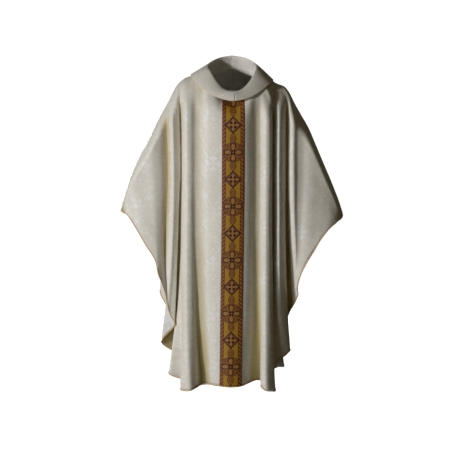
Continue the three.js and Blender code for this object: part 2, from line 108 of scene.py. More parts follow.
# Weaves: size of the damask's figure, height of the band's first lozenge, the steps from motif
# to motif and from dash to dash, and for the shade painted into the folds how far about a place
# they are judged and the depth of a full hollow
DAMASK_SCALE = 0.72
FIRST_LOZENGE = -208.7
MOTIF_PITCH = 101.3
DASH_PITCH = 15
HOLLOW_REACH = 70
HOLLOW_DEPTH = 15

# The shoulder seam, from the wearer's right wrist over the neck to the left one
SHOULDER = [
    Seam(x=-432, z=-533),
    Seam(x=-413, z=-464),
    Seam(x=-382, z=-376),
    Seam(x=-330, z=-277),
    Seam(x=-277, z=-174),
    Seam(x=-241, z=-109),
    Seam(x=-216, z=-61),
    Seam(x=-189, z=-33),
    Seam(x=-142, z=-15),
    Seam(x=-112, z=-4),
    Seam(x=112, z=-10),
    Seam(x=140, z=-25),
    Seam(x=163, z=-43),
    Seam(x=196, z=-59),
    Seam(x=216, z=-76),
    Seam(x=228, z=-97),
    Seam(x=256, z=-150),
    Seam(x=292, z=-210),
    Seam(x=340, z=-320),
    Seam(x=384, z=-421),
    Seam(x=420, z=-512),
    Seam(x=432, z=-548),
]

# Where the cloth has turned from lying to hanging, by distance from the middle: how far below
# the seam, and its depth there before and behind the seam
FORM = [
    Form(x=0, front_turn=75, front_depth=150, back_turn=110, back_depth=125),
    Form(x=60, front_turn=115, front_depth=138, back_turn=130, back_depth=126),
    Form(x=112, front_turn=165, front_depth=118, back_turn=165, back_depth=117),
    Form(x=160, front_turn=165, front_depth=108, back_turn=165, back_depth=108),
    Form(x=216, front_turn=115, front_depth=90, back_turn=115, back_depth=90),
    Form(x=280, front_turn=80, front_depth=76, back_turn=80, back_depth=76),
    Form(x=360, front_turn=65, front_depth=70, back_turn=65, back_depth=70),
    Form(x=405, front_turn=52, front_depth=60, back_turn=52, back_depth=58),
    Form(x=432, front_turn=45, front_depth=2, back_turn=45, back_depth=2),
]

# The collar by bearing round the neck in degrees, 0 at the front and positive to the wearer's
# left: heights of its roll and of its free edge
COLLAR = [
    Roll(turn=-180, roll=63, edge=5),
    Roll(turn=-150, roll=54, edge=-22),
    Roll(turn=-120, roll=34, edge=-19),
    Roll(turn=-90, roll=14, edge=-16),
    Roll(turn=-65, roll=-3, edge=-44),
    Roll(turn=-40, roll=-44, edge=-78),
    Roll(turn=-20, roll=-73, edge=-106),
    Roll(turn=0, roll=-83, edge=-119),
    Roll(turn=20, roll=-77, edge=-110),
    Roll(turn=45, roll=-46, edge=-79),
    Roll(turn=65, roll=-15, edge=-53),
    Roll(turn=90, roll=13, edge=-36),
    Roll(turn=120, roll=34, edge=-31),
    Roll(turn=150, roll=54, edge=-25),
    Roll(turn=180, roll=63, edge=5),
]

# Lines of the folds from the wearer's right to left: rail is the line's place on the shoulder
# seam, mid and low are (x, y) down the fall, and hem is (x, y, z) of its foot
FRONT_FOLDS = [
    Fold(rail=-432, mid=(-432, -1), low=(-432, -2), hem=(-432, -3, -538)),
    Fold(rail=-426, mid=(-426, -28), low=(-423, -34), hem=(-421, -38, -541)),
    Fold(rail=-413, mid=(-411, -64), low=(-404, -70), hem=(-399, -74, -550)),
    Fold(rail=-392, mid=(-387, -76), low=(-371, -87), hem=(-362, -92, -601)),
    Fold(rail=-365, mid=(-357, -82), low=(-338, -96), hem=(-328, -102, -660)),
    Fold(rail=-335, mid=(-324, -87), low=(-300, -103), hem=(-290, -110, -720)),
    Fold(rail=-305, mid=(-297, -91), low=(-284, -104), hem=(-278, -112, -774)),
    Fold(rail=-277, mid=(-271, -86), low=(-267, -96), hem=(-264, -105, -813)),
    Fold(rail=-247, mid=(-243, -72), low=(-256, -83), hem=(-251, -98, -858)),
    Fold(rail=-229, mid=(-222, -103), low=(-233, -106), hem=(-245, -97, -893)),
    Fold(rail=-220, mid=(-213, -99), low=(-222, -99), hem=(-236, -91, -930)),
    Fold(rail=-209, mid=(-204, -91), low=(-211, -91), hem=(-219, -85, -968)),
    Fold(rail=-203, mid=(-200, -79), low=(-250, -67), hem=(-273, -50, -1045)),
    Fold(rail=-199, mid=(-197, -73), low=(-206, -51), hem=(-212, -22, -1106)),
    Fold(rail=-195, mid=(-194, -78), low=(-214, -77), hem=(-243, -92, -1160)),
    Fold(rail=-190, mid=(-190, -92), low=(-192, -92), hem=(-180, -86, -1192)),
    Fold(rail=-184, mid=(-185, -114), low=(-188, -128), hem=(-197, -142, -1212)),
    Fold(rail=-172, mid=(-172, -127), low=(-172, -146), hem=(-160, -168, -1210)),
    Fold(rail=-155, mid=(-157, -126), low=(-150, -140), hem=(-137, -150, -1203)),
    Fold(rail=-138, mid=(-140, -117), low=(-131, -118), hem=(-119, -114, -1200)),
    Fold(rail=-115, mid=(-118, -122), low=(-110, -122), hem=(-100, -116, -1197)),
    Fold(rail=-92, mid=(-94, -138), low=(-88, -142), hem=(-76, -140, -1194)),
    Fold(rail=-64, mid=(-66, -148), low=(-67, -153), hem=(-61, -153, -1194)),
    Fold(rail=-37, mid=(-39, -154), low=(-45, -159), hem=(-47.5, -160, -1194)),
    Fold(rail=4.5, mid=(2.5, -158), low=(-3.5, -165), hem=(-6, -170, -1196)),
    Fold(rail=46, mid=(44, -154), low=(38, -159), hem=(35.5, -160, -1194)),
    Fold(rail=66, mid=(65, -144), low=(63, -143), hem=(61, -136, -1189)),
    Fold(rail=88, mid=(84, -128), low=(86, -122), hem=(95, -110, -1182)),
    Fold(rail=105, mid=(103, -126), low=(105, -118), hem=(119, -106, -1187)),
    Fold(rail=115, mid=(116, -133), low=(113, -138), hem=(109, -148, -1198)),
    Fold(rail=130, mid=(128, -141), low=(126, -158), hem=(128, -174, -1208)),
    Fold(rail=142, mid=(142, -137), low=(146, -151), hem=(150, -163, -1213)),
    Fold(rail=149, mid=(150, -121), low=(159, -135), hem=(167, -142, -1215)),
    Fold(rail=155, mid=(156, -92), low=(150, -99), hem=(145, -107, -1168)),
    Fold(rail=162, mid=(162, -103), low=(168, -112), hem=(173, -104, -1106)),
    Fold(rail=175, mid=(176, -118), low=(182, -116), hem=(198, -96, -1095)),
    Fold(rail=189, mid=(190, -108), low=(202, -100), hem=(218, -84, -1080)),
    Fold(rail=198, mid=(200, -91), low=(212, -84), hem=(226, -70, -1072)),
    Fold(rail=204, mid=(204, -72), low=(196, -62), hem=(190, -52, -1010)),
    Fold(rail=211, mid=(211, -71), low=(213, -46), hem=(213, -34, -946)),
    Fold(rail=221, mid=(222, -90), low=(231, -80), hem=(240, -64, -890)),
    Fold(rail=233, mid=(233, -97), low=(244, -93), hem=(252, -80, -853)),
    Fold(rail=249, mid=(247, -88), low=(250, -92), hem=(250, -88, -823)),
    Fold(rail=269, mid=(266, -84), low=(262, -92), hem=(259, -95, -782)),
    Fold(rail=294, mid=(289, -86), low=(284, -96), hem=(282, -100, -733)),
    Fold(rail=325, mid=(321, -84), low=(313, -95), hem=(309, -101, -688)),
    Fold(rail=353, mid=(350, -82), low=(341, -93), hem=(334, -100, -645)),
    Fold(rail=387, mid=(384, -75), low=(376, -85), hem=(370, -90, -601)),
    Fold(rail=413, mid=(412, -59), low=(407, -66), hem=(403, -70, -576)),
    Fold(rail=426, mid=(426, -28), low=(424, -36), hem=(423, -40, -562)),
    Fold(rail=432, mid=(432, -1), low=(432, -2), hem=(432, -3, -555)),
]
BACK_FOLDS = [
    Fold(rail=-432, mid=(-432, 1), low=(-432, 2), hem=(-432, 3, -538)),
    Fold(rail=-426, mid=(-425, 28), low=(-421, 36), hem=(-419, 40, -543)),
    Fold(rail=-409, mid=(-404, 62), low=(-394, 70), hem=(-387, 74, -565)),
    Fold(rail=-385, mid=(-378, 74), low=(-360, 86), hem=(-349, 92, -614)),
    Fold(rail=-355, mid=(-346, 82), low=(-324, 98), hem=(-312, 106, -674)),
    Fold(rail=-325, mid=(-314, 88), low=(-292, 104), hem=(-282, 112, -732)),
    Fold(rail=-298, mid=(-292, 90), low=(-280, 100), hem=(-274, 104, -796)),
    Fold(rail=-272, mid=(-268, 84), low=(-278, 96), hem=(-285, 98, -872)),
    Fold(rail=-248, mid=(-246, 78), low=(-253, 84), hem=(-264, 86, -916)),
    Fold(rail=-228, mid=(-226, 100), low=(-232, 98), hem=(-238, 88, -966)),
    Fold(rail=-214, mid=(-211, 85), low=(-212, 66), hem=(-212, 50, -1012)),
    Fold(rail=-206, mid=(-204, 78), low=(-195, 79), hem=(-186, 68, -1054)),
    Fold(rail=-200, mid=(-199, 88), low=(-214, 94), hem=(-227, 92, -1100)),
    Fold(rail=-190, mid=(-190, 108), low=(-197, 112), hem=(-204, 112, -1140)),
    Fold(rail=-174, mid=(-174, 124), low=(-176, 131), hem=(-178, 134, -1170)),
    Fold(rail=-156, mid=(-156, 110), low=(-152, 106), hem=(-148, 98, -1186)),
    Fold(rail=-132, mid=(-129, 128), low=(-126, 138), hem=(-122, 148, -1199)),
    Fold(rail=-114, mid=(-112, 130), low=(-107, 140), hem=(-103, 146, -1203)),
    Fold(rail=-94, mid=(-92, 124), low=(-88, 126), hem=(-84, 126, -1207)),
    Fold(rail=-52, mid=(-53, 140), low=(-50, 150), hem=(-46, 158, -1213)),
    Fold(rail=0, mid=(0, 136), low=(4, 142), hem=(6, 144, -1216)),
    Fold(rail=50, mid=(52, 142), low=(56, 152), hem=(60, 160, -1213)),
    Fold(rail=92, mid=(92, 124), low=(96, 122), hem=(100, 118, -1207)),
    Fold(rail=114, mid=(113, 128), low=(118, 133), hem=(122, 138, -1203)),
    Fold(rail=132, mid=(131, 128), low=(135, 138), hem=(139, 146, -1199)),
    Fold(rail=152, mid=(152, 106), low=(152, 97), hem=(150, 88, -1190)),
    Fold(rail=173, mid=(174, 120), low=(181, 122), hem=(188, 122, -1182)),
    Fold(rail=190, mid=(192, 104), low=(203, 102), hem=(211, 94, -1172)),
    Fold(rail=201, mid=(200, 82), low=(190, 78), hem=(182, 70, -1085)),
    Fold(rail=213, mid=(212, 82), low=(213, 60), hem=(212, 48, -985)),
    Fold(rail=230, mid=(230, 100), low=(240, 94), hem=(246, 84, -905)),
    Fold(rail=248, mid=(247, 84), low=(253, 88), hem=(256, 88, -856)),
    Fold(rail=271, mid=(270, 82), low=(269, 92), hem=(268, 98, -800)),
    Fold(rail=298, mid=(298, 86), low=(295, 98), hem=(296, 104, -742)),
    Fold(rail=328, mid=(328, 84), low=(325, 96), hem=(326, 102, -690)),
    Fold(rail=356, mid=(355, 80), low=(352, 90), hem=(352, 96, -642)),
    Fold(rail=384, mid=(383, 74), low=(382, 84), hem=(384, 88, -606)),
    Fold(rail=409, mid=(407, 60), low=(405, 67), hem=(404, 70, -583)),
    Fold(rail=426, mid=(425, 28), low=(423, 36), hem=(422, 40, -564)),
    Fold(rail=432, mid=(432, 1), low=(432, 2), hem=(432, 3, -555)),
]

# Soft folds pulled up beside the collar: from a place under its edge to one lower down
DRAGS = [
    Drag(x=124, z=-64, to_x=168, to_z=-165, width=8, height=5),
    Drag(x=188, z=-48, to_x=232, to_z=-130, width=8, height=4),
]

# Puckers that make the cloth uneven: a width across and a length along it, straight or slanting
PUCKERS = [
    Pucker(seed=3, height=2.4, width=70, length=420, slant=0),
    Pucker(seed=11, height=0.9, width=28, length=150, slant=0),
    Pucker(seed=19, height=0.5, width=40, length=60, slant=1),
]

# The lights: name, place, aim, power, size and colour, in metres and watts
LIGHTS = [
    Light("key", (-3.65, -2.95, 0.25), (0, 0, -0.5), 127, 0.45, (0.97, 0.97, 1)),
    Light("fill", (-2.8, -3.7, -1.5), (0, 0, -0.9), 36, 0.8, (0.97, 0.97, 1)),
    Light("behind", (-1.6, 4.2, -0.2), (0, 0, -0.6), 70, 0.9, (0.95, 0.97, 1)),
]

# The floor and the backdrop that it runs up into, in section: depth and height in metres
FLOOR_PROFILE = [(-9, -1.62), (5, -1.62), (6.2, -1.5), (7.2, -1.1), (7.8, -0.4), (8, 0.5), (8, 7)]
FLOOR_HALF = 14

FOLDS = {"front": FRONT_FOLDS, "back": BACK_FOLDS}


def column(table, name):
    return np.array([getattr(row, name) for row in table], float)


def through(stations, values, t):
    """A smooth curve through values at uneven stations, read at t. Values may hold one curve,
    or one curve to each column of t."""
    stations = np.asarray(stations, float)
    values = np.asarray(values, float)
    t = np.asarray(t, float)
    gaps = np.diff(stations)
    spread = gaps if values.ndim == 1 else gaps[:, None]
    rise = np.diff(values, axis=0) / spread
    before, after = spread[:-1], spread[1:]
    slope = np.concatenate([
        rise[:1],
        (rise[:-1] * after + rise[1:] * before) / (before + after),
        rise[-1:],
    ])
    i = np.searchsorted(stations[1:-1], t, side="left")
    places = (i,) if values.ndim == 1 else (i, np.arange(values.shape[1]))
    ahead = (i + 1,) + places[1:]
    f = (t - stations[i]) / gaps[i]
    g = 1 - f
    bend = slope[places] * g - slope[ahead] * f
    ends = values[places] * g * g * (1 + 2 * f) + values[ahead] * f * f * (3 - 2 * f)
    return ends + gaps[i] * f * g * bend


def smooth(t):
    t = np.clip(t, 0, 1)
    return t * t * (3 - 2 * t)


def unit(vectors):
    return vectors / np.maximum(np.linalg.norm(vectors, axis=-1, keepdims=True), 1e-9)


def seam_height(x):
    return through(column(SHOULDER, "x"), column(SHOULDER, "z"), x)


def top_height(x, face):
    """Top of a line of the front or back: the seam, or past the neckline a crown over it."""
    half = NECK_CUT.half
    low, high = seam_height(np.array([-half, half]))
    edge = low + (high - low) * (x + half) / (2 * half)
    bearing = np.clip(np.pi * x / (2 * half), -1.57, 1.57)
    crown = edge + (CROWN[face] - edge) * np.cos(bearing) ** 2
    return np.where(np.abs(x) >= half, seam_height(x), crown)


def fold_lines(face, heights):
    """Points of every fold line at each height, from 0 at the seam to 1 at the hem."""
    folds = FOLDS[face]
    rail = column(folds, "rail")
    mid, low, hem = (column(folds, name) for name in ("mid", "low", "hem"))
    top = top_height(rail, face)
    fall = top - hem[:, 2]
    away = np.abs(rail)
    turn = np.minimum(through(column(FORM, "x"), column(FORM, face + "_turn"), away), 0.6 * fall)
    depth = SIDE[face] * through(column(FORM, "x"), column(FORM, face + "_depth"), away)
    inside = np.maximum(0, 1 - (rail / NECK_CUT.half) ** 2)
    start = np.arcsin(getattr(NECK_CUT, face) * np.sqrt(inside) / np.abs(depth))
    w = np.asarray(heights, float)[:, None]
    angle = start + (np.pi / 2 - start) * np.minimum(w / OVER, 1)
    past = np.maximum(w - OVER, 0) / (1 - OVER)
    turned = turn * (1 - np.cos(angle)) / fall
    v = turned + (1 - turned) * past
    widths = np.stack([rail, mid[:, 0], low[:, 0], hem[:, 0]])
    depths = np.stack([mid[:, 1], mid[:, 1], low[:, 1], hem[:, 1]])
    folded = smooth(v / FOLDS_FROM)
    hung = depth * (1 - folded) + through(STATIONS, depths, v) * folded
    y = np.sin(angle) * hung + SIDE[face] * SEAM / 2
    return np.stack([through(STATIONS, widths, v), y, top - fall * v], axis=-1)


def across(lines, ks):
    """A smooth curve across the fold lines at each height, read at line numbers ks."""
    first = 2 * lines[:, :1] - lines[:, 1:2]
    last = 2 * lines[:, -1:] - lines[:, -2:-1]
    padded = np.concatenate([first, lines, last], axis=1)
    i = np.minimum(ks.astype(int), lines.shape[1] - 2)
    f = (ks - i)[None, :, None]
    p0, p1, p2, p3 = (padded[:, i + j] for j in range(4))

    def gap(a, b):
        return np.sqrt(np.maximum(np.linalg.norm(b - a, axis=-1, keepdims=True), 1e-6))

    d0, d1, d2 = gap(p0, p1), gap(p1, p2), gap(p2, p3)
    m1 = ((p1 - p0) / d0 - (p2 - p0) / (d0 + d1) + (p2 - p1) / d1) * d1
    m2 = ((p2 - p1) / d1 - (p3 - p1) / (d1 + d2) + (p3 - p2) / d2) * d1
    square = 3 * (p2 - p1) - 2 * m1 - m2
    cube = 2 * (p1 - p2) + m1 + m2
    return p1 + f * (m1 + f * (square + f * cube))


def normals_of(points, side):
    """Outward normals of a grid of points, rows down the cloth and columns to the left."""
    down = np.gradient(points, axis=0)
    along = np.gradient(points, axis=1)
    return unit(np.cross(down, along)) * -side


def fine_lines(face):
    last = len(FOLDS[face]) - 1
    return np.linspace(0, last, FINE * last + 1)


def even_lines(face, count):
    """Line numbers of a panel's columns, closer together where the cloth turns sharply."""
    fine = fine_lines(face)
    points = across(fold_lines(face, [0.45, 0.7, 0.95]), fine)
    legs = np.diff(points, axis=1)
    cost = np.linalg.norm(legs, axis=-1)
    ways = unit(legs)
    turns = np.arccos(np.clip(np.sum(ways[:, 1:] * ways[:, :-1], axis=-1), -1, 1))
    cost[:, 1:] += BEND_COST * turns
    total = np.concatenate([[0], np.cumsum(cost.mean(axis=0))])
    return np.interp(np.linspace(0, total[-1], count), total, fine)


def girth(face, ks):
    """Distance across the cloth, folds included, from the wearer's right edge to each line."""
    fine = fine_lines(face)
    points = across(fold_lines(face, [0.75]), fine)[0]
    total = np.concatenate([[0], np.cumsum(np.hypot(*np.diff(points[:, :2], axis=0).T))])
    return np.interp(ks, fine, total)


def pucker(seed, x, y):
    """Soft random height between -1 and 1 over a place on the cloth, from a grid of heights
    that repeats."""
    size = 64
    heights = np.random.default_rng(seed).uniform(-1, 1, (size, size))
    i, j = np.floor(x).astype(int), np.floor(y).astype(int)
    f, g = smooth(x - i), smooth(y - j)
    i, j = i % size, j % size
    i1, j1 = (i + 1) % size, (j + 1) % size
    near = heights[i, j] * (1 - f) + heights[i1, j] * f
    far = heights[i, j1] * (1 - f) + heights[i1, j1] * f
    return near * (1 - g) + far * g


def drag_folds(x, z):
    """Height of the soft ridges beside the collar."""
    total = 0
    for drag in DRAGS:
        start = np.array([drag.x, drag.z])
        leg = np.array([drag.to_x, drag.to_z]) - start
        length = np.hypot(*leg)
        along = ((x - start[0]) * leg[0] + (z - start[1]) * leg[1]) / length
        off = ((z - start[1]) * leg[0] - (x - start[0]) * leg[1]) / length
        ends = smooth(along / 25) * smooth((length - along) / 45)
        total = total + drag.height * np.exp(-((off / drag.width) ** 2)) * ends
    return total


def cloth(face, ks, heights):
    """A panel's points, normals and thread coordinates at line numbers and heights."""
    points = across(fold_lines(face, heights), ks)
    run = girth(face, ks)
    drop = np.concatenate([
        np.zeros((1, len(ks))),
        np.cumsum(np.linalg.norm(np.diff(points, axis=0), axis=-1), axis=0),
    ])
    threads = np.stack([np.broadcast_to(run, drop.shape), points[:1, :, 2] - drop], axis=-1)
    wide, long = threads[..., 0], threads[..., 1]
    lift = 0
    for row in PUCKERS:
        x = (wide + row.slant * long) / row.width
        y = (long - row.slant * wide) / row.length
        lift = lift + row.height * pucker(row.seed, x, y)

    # the puckers fade towards the shoulder and the hem, and under the band
    grown = smooth(np.asarray(heights)[:, None] / 0.25)
    edge = smooth((1 - np.asarray(heights)[:, None]) / 0.02)
    under = np.exp(-((points[..., 0] - BAND_MIDDLE) / BAND_FLAT) ** 2) if face == "front" else 0
    lift = lift * grown * (1 - 0.85 * under) * edge
    if face == "front":
        lift = lift + drag_folds(points[..., 0], points[..., 2])
    ends = smooth(np.minimum(ks, ks[::-1]) / 2)[None]
    points = points + normals_of(points, SIDE[face]) * (lift * ends)[..., None]
    return points, normals_of(points, SIDE[face]), threads


def hollows(face, ks, points):
    """Depth of each place in a fold, 0 on the folds' backs to 1 in the troughs, for painted shade.
    """
    run = girth(face, ks)
    near = np.exp(-(((run[:, None] - run[None]) / HOLLOW_REACH) ** 2))
    level = points[..., 1] @ (near / near.sum(axis=1, keepdims=True)).T
    depth = (level - points[..., 1]) * SIDE[face]
    return np.clip(depth / HOLLOW_DEPTH, 0, 1)


def keep_painted_fold_shade(piece, depths):
    """Stores the depth in the folds on both sides of a shell, for the shade painted into its
    colour.
    """
    mark = piece.data.attributes.new("painted_fold_shade", "FLOAT", "POINT")
    mark.data.foreach_set("value", np.concatenate([depths.ravel()] * 2))


def shell(name, outer, inner, threads, materials, flip):
    """A closed shell between two grids of points, with its thread coordinates as UV map."""
    rows, columns = outer.shape[:2]
    i, j = np.meshgrid(np.arange(rows - 1), np.arange(columns - 1), indexing="ij")
    corner = (i * columns + j).ravel()
    quads = np.stack([corner, corner + columns, corner + columns + 1, corner + 1], axis=-1)
    back = quads[:, ::-1] + rows * columns
    top = np.arange(columns - 1)
    bottom = top + (rows - 1) * columns
    left = np.arange(rows - 1) * columns
    right = left + columns - 1
    n = rows * columns
    rims = [
        np.stack([top, top + 1, top + 1 + n, top + n], axis=-1),
        np.stack([bottom + 1, bottom, bottom + n, bottom + 1 + n], axis=-1),
        np.stack([left + columns, left, left + n, left + columns + n], axis=-1),
        np.stack([right, right + columns, right + columns + n, right + n], axis=-1),
    ]
    rim = np.concatenate(rims)
    faces = np.concatenate([quads, back, rim])
    if flip:
        faces = faces[:, ::-1]
    points = np.concatenate([outer.reshape(-1, 3), inner.reshape(-1, 3)]) * MM
    mesh = bpy.data.meshes.new(name)
    mesh.vertices.add(len(points))
    mesh.vertices.foreach_set("co", points.ravel())
    mesh.loops.add(faces.size)
    mesh.loops.foreach_set("vertex_index", faces.ravel())
    mesh.polygons.add(len(faces))
    mesh.polygons.foreach_set("loop_start", np.arange(0, faces.size, 4))
    sides = np.repeat([0, 1, 0], [len(quads), len(back), len(rim)])
    mesh.polygons.foreach_set("material_index", sides)
    smooth_faces = np.repeat([True, True, False], [len(quads), len(back), len(rim)])
    mesh.polygons.foreach_set("use_smooth", smooth_faces)
    uv = mesh.uv_layers.new(name="threads")
    flat = np.concatenate([threads.reshape(-1, 2)] * 2) * MM
    uv.data.foreach_set("uv", flat[faces.ravel()].ravel())
    for material in materials:
        mesh.materials.append(material)
    mesh.update(calc_edges=True)
    mesh.validate()
    piece = bpy.data.objects.new(name, mesh)
    bpy.context.scene.collection.objects.link(piece)
    return piece


def linear(red, green, blue):
    """A colour from its 0 to 255 screen values."""
    def light(value):
        return ((value / 255 + 0.055) / 1.055) ** 2.4 if value > 10 else value / 3294.6

    return light(red), light(green), light(blue), 1


def set_inputs(tree, node, inputs):
    """Sets each named input to a value, or links it to another node's output."""
    for name, value in inputs.items():
        if isinstance(value, bpy.types.NodeSocket):
            tree.links.new(value, node.inputs[name])
        else:
            node.inputs[name].default_value = value


def add_node(tree, kind, inputs=None, **settings):
    node = tree.nodes.new(kind)
    for name, value in settings.items():
        setattr(node, name, value)
    set_inputs(tree, node, inputs or {})
    return node


class Sum:
    """A value in a node tree, with plain arithmetic."""

    def __init__(self, tree, socket):
        self.tree = tree
        self.socket = socket

    def node(self, operation, *others):
        values = [each.socket if isinstance(each, Sum) else each for each in (self, *others)]
        made = add_node(self.tree, "ShaderNodeMath", dict(enumerate(values)), operation=operation)
        return Sum(self.tree, made.outputs[0])

    def __add__(self, other):
        return self.node("ADD", other)

    def __sub__(self, other):
        return self.node("SUBTRACT", other)

    def __mul__(self, other):
        return self.node("MULTIPLY", other)

    def __truediv__(self, other):
        return self.node("DIVIDE", other)

    def size(self):
        return self.node("ABSOLUTE")

    def least(self, other):
        return self.node("MINIMUM", other)

    def most(self, other):
        return self.node("MAXIMUM", other)

    def sine(self):
        return self.node("SINE")

    def from_nearest(self, pitch):
        """Signed distance from the nearest multiple of the pitch."""
        return (self + pitch / 2).node("FLOORED_MODULO", pitch) - pitch / 2

    def within(self, edge, blur):
        """1 where the value is below the edge and 0 above it."""
        made = add_node(self.tree, "ShaderNodeMapRange", {
            "Value": self.socket,
            "From Min": edge - blur / 2,
            "From Max": edge + blur / 2,
            "To Min": 1,
            "To Max": 0,
        }, interpolation_type="SMOOTHSTEP")
        return Sum(self.tree, made.outputs[0])


def far(x, y):
    """Distance from the point where x and y are both 0."""
    return (x * x + y * y).node("SQRT")


def finish_of(name, roughness, sheen=0.0, sheen_tint=(1, 1, 1, 1)):
    material = bpy.data.materials.new(name)
    material.use_nodes = True
    tree = material.node_tree
    shader = tree.nodes["Principled BSDF"]
    set_inputs(tree, shader, {
        "Roughness": roughness,
        "Sheen Weight": sheen,
        "Sheen Roughness": 0.4,
        "Sheen Tint": sheen_tint,
    })
    return material, tree, shader


def thread_places(tree):
    """The cloth's own coordinates in millimetres: across and along."""
    uv = add_node(tree, "ShaderNodeUVMap", uv_map="threads")
    split = add_node(tree, "ShaderNodeSeparateXYZ", {0: uv.outputs[0]})
    return Sum(tree, split.outputs[0]) / MM, Sum(tree, split.outputs[1]) / MM


def stored(tree, name):
    """A value kept on the piece's points."""
    mark = add_node(tree, "ShaderNodeAttribute", attribute_name=name)
    return Sum(tree, mark.outputs["Fac"])


def speckle(tree, scale, detail):
    place = add_node(tree, "ShaderNodeTexCoord").outputs["Object"]
    inputs = {"Vector": place, "Scale": scale, "Detail": detail}
    return Sum(tree, add_node(tree, "ShaderNodeTexNoise", inputs).outputs["Fac"])


def paint(tree, under, over, share):
    """One colour over another by a share. Colours are tuples or sockets."""
    inputs = {0: share.socket, 6: under, 7: over}
    return add_node(tree, "ShaderNodeMix", inputs, data_type="RGBA").outputs[2]


def raise_threads(tree, shader, height, distance, strength):
    inputs = {"Height": height.socket, "Distance": distance, "Strength": strength}
    bump = add_node(tree, "ShaderNodeBump", inputs)
    set_inputs(tree, shader, {"Normal": bump.outputs[0]})


def damask_figure(wide, long):
    """The woven figure of the damask: leafy crosses between scrolls, in half-drop rows."""
    pitch_x, pitch_y = 104, 136
    shares = []
    for shift_x, shift_y in ((0, 0), (pitch_x / 2, pitch_y / 2)):
        x = (wide + shift_x).from_nearest(pitch_x)
        y = (long + shift_y).from_nearest(pitch_y)
        arm_x, arm_y = x.size(), y.size()
        reach = arm_x.most(arm_y)
        waist = arm_x.least(arm_y)
        arms = (waist - reach * 0.2).within(1.8, 1.2) * reach.within(17, 1.2)
        tips = far(reach - 19, waist).least(far(reach - 14.5, waist - 5)).within(3.6, 1.2)
        along = (arm_x + arm_y) * 0.707
        aside = (arm_x - arm_y).size() * 0.707
        bend = (along - 33) * (along - 33) * 0.022
        leaf = (aside + bend).within(6.5, 1.2) * (aside - 0.9).node("SIGN")
        buds = far(arm_x, arm_y - 40).least(far(arm_x - 30, arm_y)).within(3.4, 1.2)
        ring = far(arm_x, arm_y - 46) - 17
        scroll = (ring + (arm_x * 0.5 + arm_y * 0.31).sine() * 2.2).size().within(2.2, 1.4)
        shares.append(arms.most(tips).most(leaf).most(buds).most(scroll * 0.8))
    return shares[0].most(shares[1])


def damask():
    """The cloth's right side: its figure is lighter and glossier, and worn away in patches, and
    shade is painted into the troughs of the folds as a darker, yellower colour."""
    material, tree, shader = finish_of("ivory_damask", 0.5, 0.25, linear(255, 253, 246))
    wide, long = thread_places(tree)
    figure = damask_figure(wide * DAMASK_SCALE, long * DAMASK_SCALE)
    cloudy = speckle(tree, 9, 3)
    base = paint(tree, linear(232, 227, 211), linear(240, 236, 225), cloudy)
    patchy = speckle(tree, 26, 2).node("MULTIPLY", 2.4) - 0.75
    worn = patchy.most(0.25).least(1) * figure
    colour = paint(tree, base, linear(255, 254, 250), worn * 0.75)
    # painted shade: the troughs of the folds darkened to yellow-olive by their depth
    colour = paint(tree, colour, linear(190, 172, 108), stored(tree, "painted_fold_shade") * 0.85)
    rough = worn * -0.2 + 0.54
    set_inputs(tree, shader, {"Base Color": colour, "Roughness": rough.socket})
    twill = ((wide + long * 0.5) * (2 * math.pi / 0.9)).sine()
    slub = speckle(tree, 900, 2)
    threads = twill * 0.25 + slub * 0.5 + figure * 0.8
    raise_threads(tree, shader, threads, 0.00014, 0.6)
    return material


def damask_inside():
    material, tree, shader = finish_of("damask_wrong_side", 0.7, 0.2)
    wide, long = thread_places(tree)
    figure = damask_figure(wide * DAMASK_SCALE, long * DAMASK_SCALE)
    colour = paint(tree, linear(228, 227, 222), linear(238, 238, 235), figure)
    set_inputs(tree, shader, {"Base Color": colour})
    slub = speckle(tree, 900, 2)
    raise_threads(tree, shader, slub + figure * 0.4, 0.00012, 0.6)
    return material


